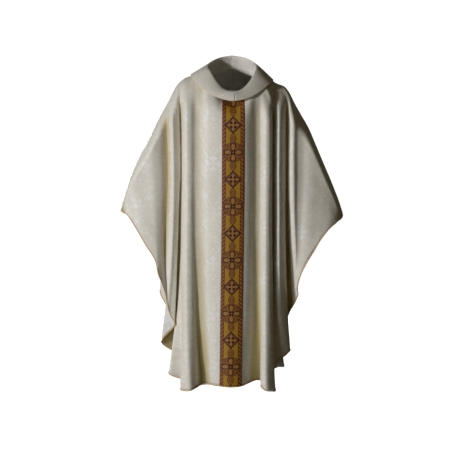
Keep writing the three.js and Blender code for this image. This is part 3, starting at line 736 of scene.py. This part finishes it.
def galloon():
    """The band's weave: roundels and lozenges by turns down a gold field, between dashed
    borders."""
    material, tree, shader = finish_of("woven_galloon", 0.6, 0.05, linear(255, 210, 120))
    wide, long = thread_places(tree)
    side = wide.size()
    tall = (long - FIRST_LOZENGE).from_nearest(2 * MOTIF_PITCH).size()
    tall_r = (long - FIRST_LOZENGE - MOTIF_PITCH).from_nearest(2 * MOTIF_PITCH).size()
    gold, copper, tan = linear(178, 130, 12), linear(132, 80, 24), linear(176, 124, 48)
    brown, dark = linear(96, 42, 16), linear(64, 20, 10)
    orange, ochre = linear(200, 122, 42), linear(122, 68, 24)
    amber, rust = linear(156, 104, 20), linear(122, 70, 20)

    # borders with slanting dashes, darker down the wearer's right
    border = side.node("MULTIPLY", -1).within(-27.0, 1)
    slant = long + side * 1.1
    middle = (side - 34.5).size().within(5.0, 2)
    dash = slant.from_nearest(DASH_PITCH).size().within(2.9, 2) * middle
    gap = (slant + DASH_PITCH / 2).from_nearest(DASH_PITCH).size().within(2.9, 2) * middle
    layers = [
        (ochre, border),
        (brown, border * gap),
        (orange, border * dash * (wide.within(0, 4) * -0.35 + 1)),
        (dark, (side - 28).size().within(0.9, 1)),
        (brown, (side - 41.2).size().within(0.6, 1)),
    ]

    # stems between the motifs: a loop with a leaf to each side
    half = (long - FIRST_LOZENGE - MOTIF_PITCH / 2).from_nearest(MOTIF_PITCH)
    near = half.size().within(23, 3)
    bow = side + half * half * 0.030
    leaf = (bow - 11.0).size().within(1.7, 1.2)
    loop = (far(side * 1.3, half) - 6.5).size().within(1.6, 1)
    twig = (side - half.size() * 0.9 + 4).size().within(1.4, 1) * half.size().within(20, 2)
    layers += [
        (copper, bow.within(11, 2) * near * 0.6),
        (brown, leaf * near),
        (brown, loop),
        (copper, twig * 0.8),
    ]

    # lozenges with a lobed cross
    span = side + tall * 0.96
    inside = span.within(29, 1)
    reach, waist = side.most(tall), side.least(tall)
    lobes = far(reach - 16, waist * 1.15)
    layers += [
        (copper, inside),
        (dark, (span - 30.5).size().within(2.6, 1)),
        (dark, (lobes - 7.8).size().within(2.0, 1.2) * inside),
        (tan, lobes.within(6.4, 1.2) * inside),
        (dark, far(side - 7.5, tall - 7.5).within(5.0, 1.2)),
        (tan, waist.within(2.0, 1) * reach.within(17, 1)),
        (dark, far(reach - 17, waist).within(1.5, 1)),
    ]

    # roundels, over the borders, with four petals
    r = far(side, tall_r)
    inner = r.within(34, 1)
    scroll = far(side - 18, tall_r - 18)
    petals = None
    for along, aside in ((side, tall_r), (tall_r, side)):
        drop = far((along - 19.5) * 0.62, aside / ((along - 19.5) * 0.022 + 1.0))
        petals = drop if petals is None else petals.least(drop)
    layers += [
        (amber, r.within(37.5, 1)),
        (brown, (r - 36.6).size().within(1.5, 1)),
        (rust, (r - 32.5).size().within(1.0, 1)),
        (brown, (scroll - 6).size().within(1.3, 1) * inner * 0.8),
        (brown, far(side - 20, tall_r - 20).within(2, 1) * inner),
        (dark, (petals - 8.4).size().within(2.4, 1.2) * inner),
        (tan, petals.within(6.8, 1) * inner),
        (copper, petals.within(2.4, 1.5) * inner * 0.5),
        (dark, (side - tall_r).size().within(2.2, 1) * r.within(11, 1)),
        (tan, r.within(2.6, 1)),
    ]

    colour = gold
    for thread_colour, share in layers:
        colour = paint(tree, colour, thread_colour, share)
    set_inputs(tree, shader, {"Base Color": colour})
    warp = (long * (2 * math.pi / 1.1)).sine()
    weft = (wide * (2 * math.pi / 0.8)).sine()
    slub = speckle(tree, 1400, 1)
    raise_threads(tree, shader, warp * weft * 0.5 + slub, 0.00018, 0.8)
    return material


def twisted_gold(name, crown_colour, painted_groove_shade):
    material, tree, shader = finish_of(name, 0.42, 0.2, crown_colour)
    fibre = speckle(tree, 1800, 2)
    # painted shade: the grooves between the strands darkened, the crowns kept in the cord's gold
    share = stored(tree, "crown") * 0.5 + 0.5 + (fibre - 0.5) * 0.5
    colour = paint(tree, painted_groove_shade, crown_colour, share)
    set_inputs(tree, shader, {"Base Color": colour})
    raise_threads(tree, shader, fibre, 0.0003, 0.6)
    return material


def path_tree(name, lengths):
    """A new node tree that takes a path, some lengths and a finish, with its two ends."""
    tree = bpy.data.node_groups.new(name, "GeometryNodeTree")
    face = tree.interface
    face.new_socket("Geometry", in_out="OUTPUT", socket_type="NodeSocketGeometry")
    face.new_socket("Path", in_out="INPUT", socket_type="NodeSocketGeometry")
    for label in lengths:
        face.new_socket(label, in_out="INPUT", socket_type="NodeSocketFloat")
    face.new_socket("Finish", in_out="INPUT", socket_type="NodeSocketMaterial")
    return tree, tree.nodes.new("NodeGroupInput"), tree.nodes.new("NodeGroupOutput")


def give_finish(tree, made, start, end):
    """Ends a node tree: what is made gets the finish and goes out."""
    dress = add_node(tree, "GeometryNodeSetMaterial", {
        "Geometry": made.outputs[0],
        "Material": start.outputs["Finish"],
    })
    set_inputs(tree, end, {0: dress.outputs[0]})


def cord_tree(name, strands):
    """Node tree that lays a twisted cord along a path: a lobed section turned along its way."""
    tree, start, end = path_tree(name, ["Radius", "Lay length", "Step"])
    lobe = 0.16
    path = add_node(tree, "GeometryNodeResampleCurve", {
        "Curve": start.outputs["Path"],
        "Length": start.outputs["Step"],
    }, mode="LENGTH")
    along = add_node(tree, "GeometryNodeSplineParameter")
    turns = Sum(tree, along.outputs["Length"]) / Sum(tree, start.outputs["Lay length"])
    tilt = add_node(tree, "GeometryNodeSetCurveTilt", {
        "Curve": path.outputs[0],
        "Tilt": (turns * (2 * math.pi)).socket,
    })

    circle = add_node(tree, "GeometryNodeCurvePrimitiveCircle", {"Resolution": 4 * strands})
    around = add_node(tree, "GeometryNodeSplineParameter")
    crown = (Sum(tree, around.outputs["Factor"]) * (2 * math.pi * strands)).node("COSINE")
    reach = (crown * lobe + (1 - lobe)) * Sum(tree, start.outputs["Radius"])
    place = add_node(tree, "GeometryNodeInputPosition")
    scaled = add_node(tree, "ShaderNodeVectorMath", {
        0: place.outputs[0],
        "Scale": reach.socket,
    }, operation="SCALE")
    lobed = add_node(tree, "GeometryNodeSetPosition", {
        "Geometry": circle.outputs["Curve"],
        "Position": scaled.outputs[0],
    })
    # the crown is kept on the cord's points for the shade painted into its grooves
    mark = add_node(tree, "GeometryNodeStoreNamedAttribute", {
        "Geometry": lobed.outputs[0],
        "Name": "crown",
        "Value": crown.socket,
    }, data_type="FLOAT", domain="POINT")

    sweep = add_node(tree, "GeometryNodeCurveToMesh", {
        "Curve": tilt.outputs[0],
        "Profile Curve": mark.outputs[0],
        "Fill Caps": True,
    })
    give_finish(tree, sweep, start, end)
    return tree


def stitch_tree():
    """Node tree that sets a stitch at each step of a path, along the path."""
    tree, start, end = path_tree("row_of_stitches", ["Pitch", "Stitch length", "Thread"])
    points = add_node(tree, "GeometryNodeCurveToPoints", {
        "Curve": start.outputs["Path"],
        "Length": start.outputs["Pitch"],
    }, mode="LENGTH")
    sphere = {"Segments": 6, "Rings": 4, "Radius": 0.5}
    stitch = add_node(tree, "GeometryNodeMeshUVSphere", sphere)
    size = add_node(tree, "ShaderNodeCombineXYZ", {
        0: start.outputs["Thread"],
        1: start.outputs["Thread"],
        2: start.outputs["Stitch length"],
    })
    place = add_node(tree, "GeometryNodeInstanceOnPoints", {
        "Points": points.outputs["Points"],
        "Instance": stitch.outputs["Mesh"],
        "Rotation": points.outputs["Rotation"],
        "Scale": size.outputs[0],
    })
    real = add_node(tree, "GeometryNodeRealizeInstances", {"Geometry": place.outputs[0]})
    give_finish(tree, real, start, end)
    return tree


def along_path(name, paths, tree, inputs):
    """Runs a node tree over paths of points in millimetres and returns a plain mesh piece."""
    curve = bpy.data.curves.new(name + "_path", "CURVE")
    curve.dimensions = "3D"
    for path in paths:
        spline = curve.splines.new("POLY")
        spline.points.add(len(path) - 1)
        rows = np.concatenate([np.asarray(path) * MM, np.ones((len(path), 1))], axis=1)
        spline.points.foreach_set("co", rows.ravel())
    holder = bpy.data.objects.new(name + "_path", curve)
    bpy.context.scene.collection.objects.link(holder)
    modifier = holder.modifiers.new("lay", "NODES")
    modifier.node_group = tree
    for item in tree.interface.items_tree:
        if item.name in inputs:
            modifier[item.identifier] = inputs[item.name]
    graph = bpy.context.evaluated_depsgraph_get()
    mesh = bpy.data.meshes.new_from_object(holder.evaluated_get(graph))
    holder.modifiers.remove(modifier)
    bpy.data.objects.remove(holder)
    mesh.name = name
    mesh.polygons.foreach_set("use_smooth", [True] * len(mesh.polygons))
    piece = bpy.data.objects.new(name, mesh)
    bpy.context.scene.collection.objects.link(piece)
    return piece


def beside_edge(edge, normals, side, reach):
    """A path beside an edge of the cloth, off the cloth by a reach."""
    legs = unit(np.diff(edge, axis=0))
    square = unit(np.cross(legs, (normals[1:] + normals[:-1]) / 2)) * side
    off = np.concatenate([square[:1], square[:-1] + square[1:], square[-1:]])
    return edge + unit(off) * reach


def ring(plan, turns, z):
    centre = (plan.front - plan.back) / 2
    reach = (plan.front + plan.back) / 2
    angle = np.radians(turns)
    return np.stack([plan.half * np.sin(angle), -centre - reach * np.cos(angle), z], axis=-1)


def neck_heights(feet):
    """Heights of the panels under places near the neckline: each is the mean of the nearest
    points of a fine grid, and evened out along the row of places."""
    grids = []
    for face in ("front", "back"):
        ks = np.linspace(0, len(FOLDS[face]) - 1, 900)
        grids.append(across(fold_lines(face, np.linspace(0, 0.12, 60)), ks).reshape(-1, 3))
    cloud = np.concatenate(grids)
    cloud = cloud[np.abs(cloud[:, 0]) < 135]
    found = []
    for foot in feet:
        away = np.sum((cloud[:, :2] - foot[:2]) ** 2, axis=1)
        found.append(cloud[np.argsort(away)[:4], 2].mean())
    return np.convolve(np.pad(found, 2, mode="edge"), np.ones(5) / 5, mode="valid")


def bezier(controls, t):
    a, b, c, d = controls
    g = 1 - t
    return a * g**3 + 3 * b * g * g * t + 3 * c * g * t * t + d * t**3


def collar_surface(turns, ts):
    """The collar's middle surface: ts from 0 at its foot over 1 at the roll to 2 at its edge."""
    angle = np.radians(turns)
    depth = np.where(np.abs(turns) < 90, COLLAR_FOOT.front, COLLAR_FOOT.back)
    foot = [COLLAR_FOOT.half * np.sin(angle), -depth * np.cos(angle), 0 * angle]
    foot = np.stack(foot, axis=-1)
    foot[:, 2] = neck_heights(foot) + FOOT_LIFT
    table = column(COLLAR, "turn")
    roll = ring(COLLAR_ROLL, turns, through(table, column(COLLAR, "roll"), turns))
    edge = ring(COLLAR_EDGE, turns, through(table, column(COLLAR, "edge"), turns))
    out = unit((edge - roll) * [1, 1, 0])
    off = np.abs(turns - COLLAR_SEAM_TURN)
    keel = np.exp(-off / COLLAR_KEEL_SPREAD)[:, None] * COLLAR_KEEL
    roll = roll + out * keel
    edge = edge + out * keel
    stand = np.linalg.norm(foot - roll, axis=-1, keepdims=True)
    fall = np.linalg.norm(edge - roll, axis=-1, keepdims=True)
    radius = np.minimum(9, 0.4 * stand)
    rise = np.array([0, 0, 1.0])
    up = [foot, foot + rise * 0.5 * stand, roll - out * radius, roll]
    puff = (0.03 + 0.12 * np.cos(angle)[:, None] ** 2) * fall
    drape = (rise + out) * puff
    down = [roll, roll + out * radius, edge * 0.6 + roll * 0.4 + drape, edge]
    rows = [bezier(up, t) if t < 1 else bezier(down, t - 1) for t in ts]
    return np.stack(rows)


def add_panel(face, right_side, wrong_side):
    """The front or back of the vestment, kept on its own side of the shoulder seam."""
    ks = even_lines(face, PANEL_COLUMNS)
    heights = np.linspace(0, 1, PANEL_ROWS)
    outer, normals, threads = cloth(face, ks, heights)
    inner = outer - normals * CLOTH
    for grid in (outer, inner):
        grid[..., 1] = SIDE[face] * np.maximum(SIDE[face] * grid[..., 1], SEAM / 2)
    piece = shell(face + "_damask", outer, inner, threads, [right_side, wrong_side], face == "back")
    # the depth in the folds is kept for the shade painted into the damask's colour
    keep_painted_fold_shade(piece, hollows(face, ks, outer))
    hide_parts(face + "_panel")
    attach(piece, "root")
    return piece


def add_hem_cord(face, tree, finish):
    """The cord along a panel's hem, from wrist to wrist."""
    ks = even_lines(face, HEM_PLACES)
    outer, normals, _ = cloth(face, ks, np.array([0.985, 0.99, 0.995, 1]))
    edge = outer[-1] - normals[-1] * CLOTH / 2
    path = beside_edge(edge, normals[-1], -SIDE[face], HEM_CORD / 2)
    path[0, 1] = path[-1, 1] = SIDE[face] * SEAM
    piece = along_path("hem_cord_" + face, [path], tree, {
        "Radius": HEM_CORD / 2 * MM,
        "Lay length": 9 * MM,
        "Step": 1.2 * MM,
        "Finish": finish,
    })
    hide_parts("hem_piping_" + face)
    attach(piece, "root")
    return piece


def add_band(finish):
    """The band on the front, and the paths of the stitches just inside its edges."""
    rails = column(FRONT_FOLDS, "rail")
    first = int(np.where(rails == BAND_RAILS[0])[0][0])
    ks = np.linspace(first, first + 2, BAND_COLUMNS)
    outer, normals, threads = cloth("front", ks, np.linspace(BAND_TOP, 1, BAND_ROWS))
    top = outer + normals * (SEAM + BAND_CLOTH)
    bottom = outer + normals * SEAM * 0.5
    weave = np.stack([threads[..., 0], outer[..., 2]], axis=-1)
    weave[..., 0] -= (threads[:, :1, 0] + threads[:, -1:, 0]) / 2
    piece = shell("orphrey_band", top, bottom, weave, [finish, finish], False)
    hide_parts("orphrey_front")
    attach(piece, "root")
    edges = [top[4:, 0] * 0.97 + top[4:, 1] * 0.03, top[4:, -1] * 0.97 + top[4:, -2] * 0.03]
    return piece, [edge + normals[4:, 0] * 0.1 for edge in edges]


def add_collar(name, hand, right_side, wrong_side, tree, finish):
    """Half of the collar, with hand 1 for the wearer's left and -1 for the right, and the cord
    on its free edge."""
    parted = math.degrees(COLLAR_SEAM / 2 / COLLAR_ROLL.half)
    turns = np.linspace(COLLAR_SEAM_TURN + hand * parted, hand * (180 - parted), COLLAR_COLUMNS)
    ts = np.linspace(0, 2, COLLAR_ROWS)
    middle = collar_surface(turns, ts)
    normals = normals_of(middle, -hand)
    # along the back seam the halves meet square
    normals[:, -1, 0] = 0
    normals = unit(normals)
    lengths = np.linalg.norm(np.diff(middle, axis=1), axis=-1).mean(axis=0)
    wide = np.concatenate([[0], np.cumsum(lengths)])
    long = np.concatenate([
        np.zeros((1, len(turns))),
        np.cumsum(np.linalg.norm(np.diff(middle, axis=0), axis=-1), axis=0),
    ])
    threads = np.stack([np.broadcast_to(wide, long.shape), -long], axis=-1)
    outer = middle + normals * COLLAR_CLOTH / 2
    inner = middle - normals * COLLAR_CLOTH / 2
    piece = shell("collar_half_" + name, outer, inner, threads, [right_side, wrong_side], hand < 0)
    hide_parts("collar_" + name)
    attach(piece, "root")
    path = beside_edge(middle[-1], normals[-1], -hand, COLLAR_CORD / 2)
    cord = along_path("collar_cord_" + name, [path], tree, {
        "Radius": COLLAR_CORD / 2 * MM,
        "Lay length": 7 * MM,
        "Step": 1 * MM,
        "Finish": finish,
    })
    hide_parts("collar_piping_" + name)
    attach(cord, "root")
    return piece, cord


def add_camera():
    """The view of the photograph: from straight in front, looking a little down."""
    camera = bpy.data.objects.new("view", bpy.data.cameras.new("view"))
    camera.data.lens = 86.1
    camera.data.sensor_width = 36
    camera.location = (-0.023, -4.2, -0.23)
    aim = Vector((-0.023, 0, -0.6)) - camera.location
    camera.rotation_mode = "QUATERNION"
    camera.rotation_quaternion = aim.to_track_quat("-Z", "Y")
    camera.data.clip_end = 60
    bpy.context.scene.collection.objects.link(camera)
    bpy.context.scene.camera = camera


def add_light(light):
    lamp = bpy.data.objects.new(light.name, bpy.data.lights.new(light.name, "AREA"))
    lamp.data.energy = light.power
    lamp.data.size = light.size
    lamp.data.color = light.colour
    lamp.location = light.place
    lamp.rotation_mode = "QUATERNION"
    aim = Vector(light.aim) - Vector(light.place)
    lamp.rotation_quaternion = aim.to_track_quat("-Z", "Y")
    bpy.context.scene.collection.objects.link(lamp)


def add_studio():
    """A pale floor running up into a backdrop, and light mainly from the wearer's right."""
    scene = bpy.context.scene
    scene.view_settings.view_transform = "Standard"
    points = [(x, y, z) for y, z in FLOOR_PROFILE for x in (-FLOOR_HALF, FLOOR_HALF)]
    faces = [(2 * i, 2 * i + 1, 2 * i + 3, 2 * i + 2) for i in range(len(FLOOR_PROFILE) - 1)]
    mesh = bpy.data.meshes.new("studio_floor")
    mesh.from_pydata(points, [], faces)
    mesh.polygons.foreach_set("use_smooth", [True] * len(faces))
    floor = bpy.data.objects.new("studio_floor", mesh)
    scene.collection.objects.link(floor)
    material, tree, shader = finish_of("pale_floor", 0.9)
    set_inputs(tree, shader, {
        "Base Color": (0.85, 0.85, 0.85, 1),
        "Emission Color": (1, 1, 1, 1),
        "Emission Strength": 1.0,
    })
    mesh.materials.append(material)
    floor.visible_diffuse = False
    floor.visible_glossy = False
    world = bpy.data.worlds.new("studio")
    scene.world = world
    world.use_nodes = True
    sky = world.node_tree.nodes["Background"]
    set_inputs(world.node_tree, sky, {"Color": (0.95, 0.8, 0.46, 1), "Strength": 0.05})
    for light in LIGHTS:
        add_light(light)


right_side = damask()
wrong_side = damask_inside()
weave = galloon()
gold = twisted_gold("gold_cord", linear(250, 210, 138), linear(206, 156, 90))
pale = twisted_gold("pale_cord", linear(240, 208, 148), linear(194, 150, 92))
thread = twisted_gold("band_thread", linear(120, 60, 24), linear(84, 36, 14))
rope = cord_tree("twisted_cord", 3)

add_camera()
for face in ("front", "back"):
    panel = add_panel(face, right_side, wrong_side)
    hem = add_hem_cord(face, rope, gold)
band, band_edges = add_band(weave)
stitches = along_path("band_stitches", band_edges, stitch_tree(), {
    "Pitch": 4.5 * MM,
    "Stitch length": 3.2 * MM,
    "Thread": 0.7 * MM,
    "Finish": thread,
})
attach(stitches, "root")
for name, hand in (("left", 1), ("right", -1)):
    collar, collar_cord = add_collar(name, hand, right_side, right_side, rope, pale)
add_studio()
